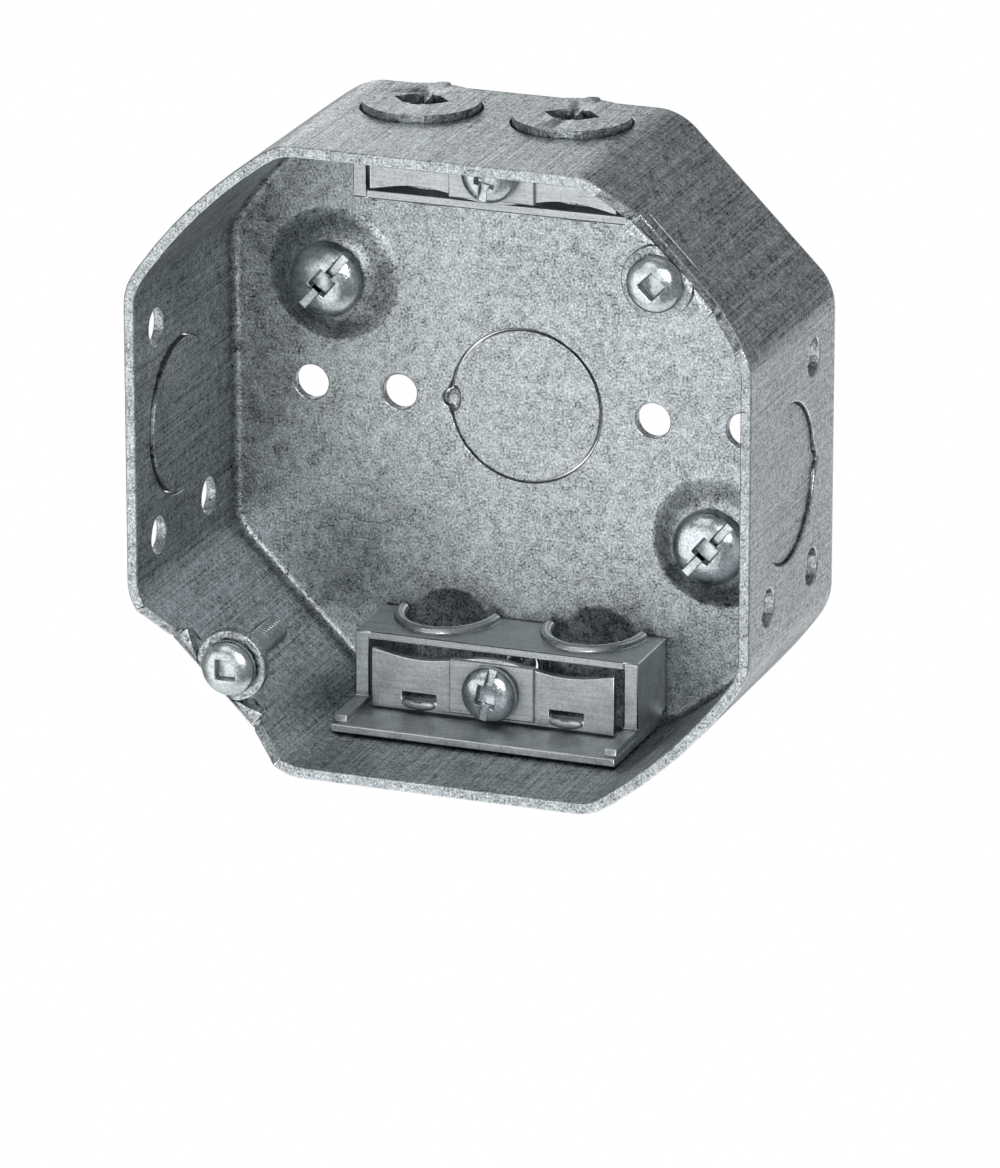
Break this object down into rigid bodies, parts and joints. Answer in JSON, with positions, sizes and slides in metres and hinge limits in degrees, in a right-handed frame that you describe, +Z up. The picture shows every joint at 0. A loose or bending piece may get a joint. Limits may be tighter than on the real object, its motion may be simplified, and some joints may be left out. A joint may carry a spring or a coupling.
{
  "type": "electrical junction box",
  "caption": "Octagonal galvanised steel junction box, opening forward, with knockouts, raised pry-outs, inner cable clamps, ear screws and bonding screws.",
  "frame": {"origin": "centre of the back panel's outer face, on the axis of the centre knockout", "axes": "+X to the right and +Z up as seen from the front; the box opens towards -Y and its back panel faces +Y"},
  "size_m": [0.092, 0.0381, 0.0942],
  "materials": {
    "shell_steel": "galvanised sheet, satin with fine spangle",
    "slug_steel": "galvanised sheet, satin, with punched edges",
    "clamp_steel": "zinc-plated sheet, semi-bright",
    "screw_zinc": "bright zinc plating"
  },
  "bodies": {
    "box": {"box_shell": "shell_steel", "bottom_clamp_bracket": "clamp_steel", "top_clamp_bracket": "clamp_steel"},
    "back_knockout": {"back_knockout": "slug_steel"},
    "left_knockout": {"left_knockout": "slug_steel"},
    "right_knockout": {"right_knockout": "slug_steel"},
    "top_left_pryout": {"top_left_pryout": "slug_steel"},
    "top_right_pryout": {"top_right_pryout": "slug_steel"},
    "bottom_left_pryout": {"bottom_left_pryout": "slug_steel"},
    "bottom_right_pryout": {"bottom_right_pryout": "slug_steel"},
    "bottom_clamp_plate": {"bottom_clamp_plate": "clamp_steel"},
    "top_clamp_plate": {"top_clamp_plate": "clamp_steel"},
    "bottom_clamp_screw": {"bottom_clamp_screw": "screw_zinc"},
    "top_clamp_screw": {"top_clamp_screw": "screw_zinc"},
    "upper_right_ear_screw": {"upper_right_ear_screw": "screw_zinc"},
    "lower_left_ear_screw": {"lower_left_ear_screw": "screw_zinc"},
    "upper_bond_screw": {"upper_bond_screw": "screw_zinc"},
    "lower_bond_screw": {"lower_bond_screw": "screw_zinc"}
  },
  "joints": [
    {"name": "back_knockout_bend", "type": "hinge", "parent": "box", "child": "back_knockout", "pos_m": [-0.0122, -0.0016, 0], "axis": [0, 0, -1], "range_deg": [0, 80]},
    {"name": "left_knockout_bend", "type": "hinge", "parent": "box", "child": "left_knockout", "pos_m": [-0.0439, -0.0094, 0], "axis": [0, 0, 1], "range_deg": [0, 80]},
    {"name": "right_knockout_bend", "type": "hinge", "parent": "box", "child": "right_knockout", "pos_m": [0.0439, -0.0094, 0], "axis": [0, 0, -1], "range_deg": [0, 80]},
    {"name": "top_left_pryout_bend", "type": "hinge", "parent": "box", "child": "top_left_pryout", "pos_m": [-0.0111, -0.0039, 0.0471], "axis": [-1, 0, 0], "range_deg": [0, 90]},
    {"name": "top_right_pryout_bend", "type": "hinge", "parent": "box", "child": "top_right_pryout", "pos_m": [0.0111, -0.0039, 0.0471], "axis": [-1, 0, 0], "range_deg": [0, 90]},
    {"name": "bottom_left_pryout_bend", "type": "hinge", "parent": "box", "child": "bottom_left_pryout", "pos_m": [-0.0111, -0.0039, -0.0471], "axis": [1, 0, 0], "range_deg": [0, 90]},
    {"name": "bottom_right_pryout_bend", "type": "hinge", "parent": "box", "child": "bottom_right_pryout", "pos_m": [0.0111, -0.0039, -0.0471], "axis": [1, 0, 0], "range_deg": [0, 90]},
    {"name": "top_clamp_plate_slide", "type": "slide", "parent": "box", "child": "top_clamp_plate", "axis": [0, 1, 0], "range_m": [0, 0.00476]},
    {"name": "top_clamp_screw_turn", "type": "hinge", "parent": "top_clamp_plate", "child": "top_clamp_screw", "pos_m": [0, -0.0151, 0.0382], "axis": [0, 1, 0], "range_deg": [0, 2160.5]},
    {"name": "bottom_clamp_plate_slide", "type": "slide", "parent": "box", "child": "bottom_clamp_plate", "axis": [0, 1, 0], "range_m": [0, 0.00476]},
    {"name": "bottom_clamp_screw_turn", "type": "hinge", "parent": "bottom_clamp_plate", "child": "bottom_clamp_screw", "pos_m": [0, -0.0151, -0.0382], "axis": [0, 1, 0], "range_deg": [0, 2160.5]},
    {"name": "upper_right_ear_screw_travel", "type": "slide", "parent": "box", "child": "upper_right_ear_screw", "axis": [0, -1, 0], "range_m": [0, 0.00635]},
    {"name": "lower_left_ear_screw_travel", "type": "slide", "parent": "box", "child": "lower_left_ear_screw", "axis": [0, -1, 0], "range_m": [0, 0.00635]},
    {"name": "upper_bond_screw_travel", "type": "slide", "parent": "box", "child": "upper_bond_screw", "axis": [0, -1, 0], "range_m": [0, 0.00317]},
    {"name": "lower_bond_screw_travel", "type": "slide", "parent": "box", "child": "lower_bond_screw", "axis": [0, -1, 0], "range_m": [0, 0.00317]}
  ],
  "couplings": [
    {"joint": "top_clamp_screw_turn", "follows": "top_clamp_plate_slide", "rad_per_m": 7915.8},
    {"joint": "bottom_clamp_screw_turn", "follows": "bottom_clamp_plate_slide", "rad_per_m": 7915.8}
  ]
}
